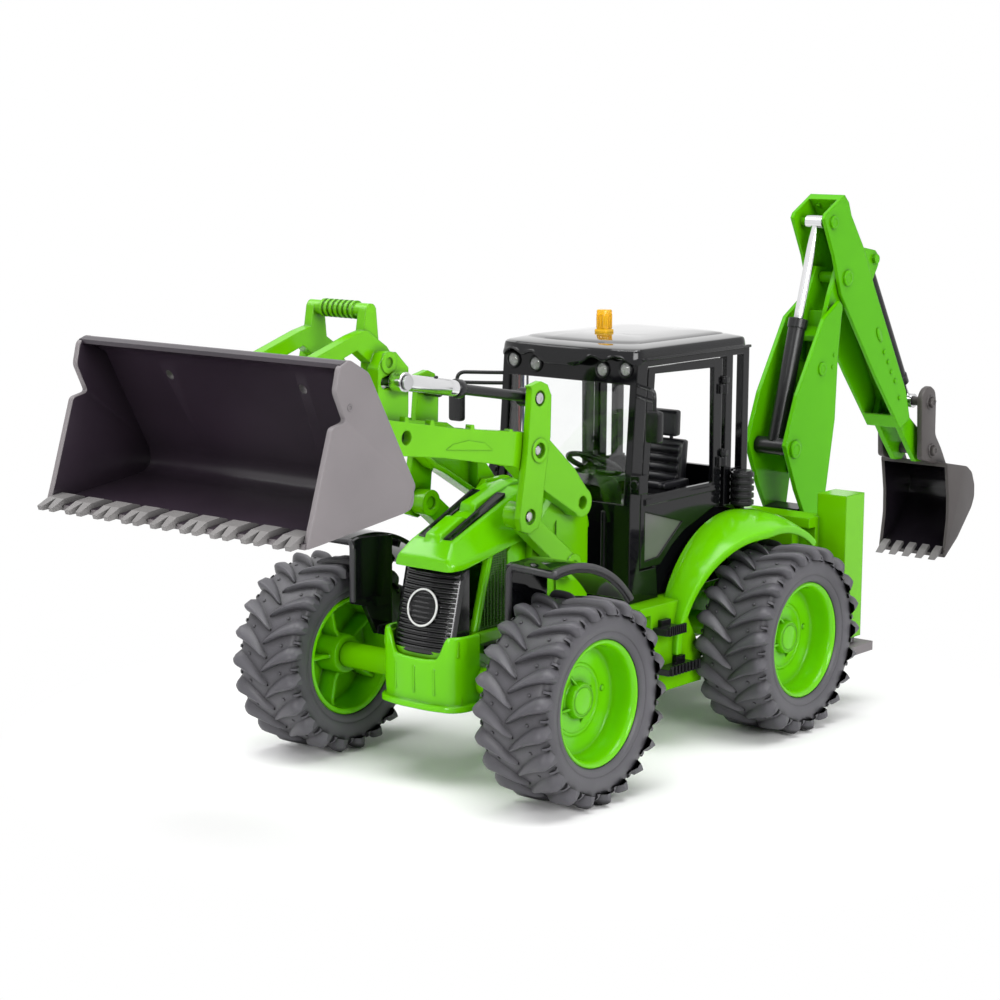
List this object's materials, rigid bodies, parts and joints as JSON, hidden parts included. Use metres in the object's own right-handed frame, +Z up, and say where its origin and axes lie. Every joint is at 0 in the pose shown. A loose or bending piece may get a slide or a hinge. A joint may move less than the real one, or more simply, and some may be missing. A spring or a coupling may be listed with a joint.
{
  "type": "toy backhoe loader",
  "caption": "Toy backhoe loader: lifting front bucket on parallel links, swinging rear digging arm, opening cab doors, sliding stabiliser legs and free rolling lugged wheels.",
  "frame": {"origin": "centre of the bounding box in plan, on the ground plane the tyres stand on", "axes": "+X forward towards the loader bucket, +Y to the vehicle's left, +Z up"},
  "size_m": [0.6172, 0.181, 0.248],
  "materials": {
    "green_plastic": "gloss",
    "black_plastic": "satin",
    "gloss_black": "gloss",
    "bucket_grey": "matt",
    "tyre_rubber": "matt",
    "chromed_steel": "polished",
    "screw_steel": "bright",
    "amber_plastic": "gloss",
    "clear_lens": "gloss",
    "clear_pane": "gloss",
    "smoke_pane": "gloss",
    "wire_cover": "satin"
  },
  "bodies": {
    "machine": {"chassis": "green_plastic", "front_axle_block": "green_plastic", "hood": "green_plastic", "hood_strips": "gloss_black", "grille": "black_plastic", "side_meshes": "black_plastic", "loader_tower": "green_plastic", "front_fender_left": "black_plastic", "front_fender_right": "black_plastic", "rear_fender_left": "green_plastic", "rear_fender_right": "green_plastic", "cab": "gloss_black", "roof": "gloss_black", "roof_lamps": "clear_lens", "beacon": "amber_plastic", "windscreen": "clear_pane", "dashboard": "black_plastic", "seat": "black_plastic", "mirrors": "gloss_black", "marker_lamps": "gloss_black", "ribbed_ducts": "black_plastic", "steps": "black_plastic", "wires": "wire_cover", "rear_frame": "green_plastic"},
    "left_door": {"door_left": "gloss_black", "door_pane_left": "smoke_pane"},
    "right_door": {"door_right": "gloss_black", "door_pane_right": "smoke_pane"},
    "steering": {"steering_wheel": "black_plastic"},
    "left_stabiliser": {"stabiliser_leg_left": "bucket_grey"},
    "right_stabiliser": {"stabiliser_leg_right": "bucket_grey"},
    "swing": {"swing_post": "black_plastic"},
    "boom_body": {"boom": "green_plastic"},
    "dipper_ram_barrel": {"dipper_barrel": "black_plastic"},
    "dipper_ram_rod": {"dipper_rod": "chromed_steel"},
    "dipper_body": {"dipper": "green_plastic"},
    "hoe_ram_barrel": {"hoe_barrel": "black_plastic"},
    "hoe_ram_rod": {"hoe_rod": "chromed_steel"},
    "hoe": {"hoe_bucket": "bucket_grey", "hoe_teeth": "bucket_grey"},
    "arms": {"loader_arms": "green_plastic"},
    "cranks": {"bell_cranks": "green_plastic", "crank_screws": "screw_steel", "tilt_pins": "screw_steel"},
    "links": {"levelling_links": "green_plastic"},
    "tilt_rams": {"tilt_rods": "black_plastic", "tilt_barrels": "chromed_steel"},
    "hitch_level_pins": {"hitch_pins": "screw_steel", "eye_pins": "screw_steel"},
    "bucket": {"hitch": "green_plastic", "loader_bucket": "bucket_grey", "bucket_teeth": "bucket_grey"},
    "front_left_wheel": {"tyre_front_left": "tyre_rubber", "rim_front_left": "green_plastic"},
    "front_right_wheel": {"tyre_front_right": "tyre_rubber", "rim_front_right": "green_plastic"},
    "rear_left_wheel": {"tyre_rear_left": "tyre_rubber", "rim_rear_left": "green_plastic"},
    "rear_right_wheel": {"tyre_rear_right": "tyre_rubber", "rim_rear_right": "green_plastic"}
  },
  "joints": [
    {"name": "loader_lift", "type": "hinge", "parent": "machine", "child": "arms", "pos_m": [0.0785, 0, 0.1176], "axis": [0, -1, 0], "range_deg": [-58, 20]},
    {"name": "crank_turn", "type": "hinge", "parent": "arms", "child": "cranks", "pos_m": [0.1151, 0, 0.1456], "axis": [0, -1, 0], "range_deg": [-20.05, 58.05]},
    {"name": "link_turn", "type": "hinge", "parent": "machine", "child": "links", "pos_m": [0.0843, 0, 0.0889], "axis": [0, -1, 0], "range_deg": [-58.05, 20.05]},
    {"name": "tilt_ram_turn", "type": "hinge", "parent": "cranks", "child": "tilt_rams", "pos_m": [0.1148, 0, 0.1684], "axis": [0, -1, 0], "range_deg": [-58.05, 20.05]},
    {"name": "hitch_pin_turn", "type": "hinge", "parent": "arms", "child": "hitch_level_pins", "pos_m": [0.1985, 0, 0.1594], "axis": [0, -1, 0], "range_deg": [-20.05, 58.05]},
    {"name": "bucket_tilt", "type": "hinge", "parent": "hitch_level_pins", "child": "bucket", "pos_m": [0.1985, 0, 0.1594], "axis": [0, -1, 0], "range_deg": [-12, 12]},
    {"name": "boom_swing", "type": "hinge", "parent": "machine", "child": "swing", "pos_m": [-0.1077, 0, 0.072], "axis": [0, 0, 1], "range_deg": [-70, 70]},
    {"name": "boom_raise", "type": "hinge", "parent": "swing", "child": "boom_body", "pos_m": [-0.1457, 0, 0.078], "axis": [0, 1, 0], "range_deg": [-12, 12]},
    {"name": "dipper_turn", "type": "hinge", "parent": "boom_body", "child": "dipper_body", "pos_m": [-0.1782, 0, 0.2041], "axis": [0, -1, 0], "range_deg": [-12, 30]},
    {"name": "dipper_barrel_turn", "type": "hinge", "parent": "boom_body", "child": "dipper_ram_barrel", "pos_m": [-0.1277, 0, 0.1185], "axis": [0, -1, 0], "range_deg": [-2.63, 6.5]},
    {"name": "dipper_rod_turn", "type": "hinge", "parent": "dipper_body", "child": "dipper_ram_rod", "pos_m": [-0.1627, 0, 0.234], "axis": [0, -1, 0], "range_deg": [-23.6, 9.47]},
    {"name": "hoe_curl", "type": "hinge", "parent": "dipper_body", "child": "hoe", "pos_m": [-0.2692, 0, 0.1022], "axis": [0, -1, 0], "range_deg": [-18, 30]},
    {"name": "hoe_barrel_turn", "type": "hinge", "parent": "dipper_body", "child": "hoe_ram_barrel", "pos_m": [-0.2122, 0, 0.2125], "axis": [0, -1, 0], "range_deg": [-6.8, 4.1]},
    {"name": "hoe_rod_turn", "type": "hinge", "parent": "hoe", "child": "hoe_ram_rod", "pos_m": [-0.2655, 0, 0.13], "axis": [0, -1, 0], "range_deg": [-36.8, 22.1]},
    {"name": "door_left_open", "type": "hinge", "parent": "machine", "child": "left_door", "pos_m": [-0.0197, 0.0393, 0.1265], "axis": [0, 0, 1], "range_deg": [0, 55]},
    {"name": "door_right_open", "type": "hinge", "parent": "machine", "child": "right_door", "pos_m": [-0.0197, -0.0393, 0.1265], "axis": [0, 0, -1], "range_deg": [0, 55]},
    {"name": "stabiliser_left_slide", "type": "slide", "parent": "machine", "child": "left_stabiliser", "axis": [0, 0, -1], "range_m": [0, 0.025]},
    {"name": "stabiliser_right_slide", "type": "slide", "parent": "machine", "child": "right_stabiliser", "axis": [0, 0, -1], "range_m": [0, 0.025]},
    {"name": "steering_turn", "type": "hinge", "parent": "machine", "child": "steering", "pos_m": [0.03045, 0, 0.12524], "axis": [-0.4695, 0, 0.8829], "continuous": true},
    {"name": "wheel_front_left_spin", "type": "hinge", "parent": "machine", "child": "front_left_wheel", "pos_m": [0.1383, 0.0705, 0.045], "axis": [0, 1, 0], "continuous": true},
    {"name": "wheel_front_right_spin", "type": "hinge", "parent": "machine", "child": "front_right_wheel", "pos_m": [0.1383, -0.0705, 0.045], "axis": [0, 1, 0], "continuous": true},
    {"name": "wheel_rear_left_spin", "type": "hinge", "parent": "machine", "child": "rear_left_wheel", "pos_m": [-0.0237, 0.0705, 0.045], "axis": [0, 1, 0], "continuous": true},
    {"name": "wheel_rear_right_spin", "type": "hinge", "parent": "machine", "child": "rear_right_wheel", "pos_m": [-0.0237, -0.0705, 0.045], "axis": [0, 1, 0], "continuous": true}
  ],
  "couplings": [
    {"joint": "crank_turn", "follows": "loader_lift", "ratio": -1},
    {"joint": "link_turn", "follows": "loader_lift", "ratio": 1},
    {"joint": "tilt_ram_turn", "follows": "loader_lift", "ratio": 1},
    {"joint": "hitch_pin_turn", "follows": "loader_lift", "ratio": -1},
    {"joint": "dipper_barrel_turn", "follows": "dipper_turn", "ratio": 0.215},
    {"joint": "dipper_rod_turn", "follows": "dipper_turn", "ratio": -0.785},
    {"joint": "hoe_barrel_turn", "follows": "hoe_curl", "ratio": -0.225},
    {"joint": "hoe_rod_turn", "follows": "hoe_curl", "ratio": -1.225}
  ]
}
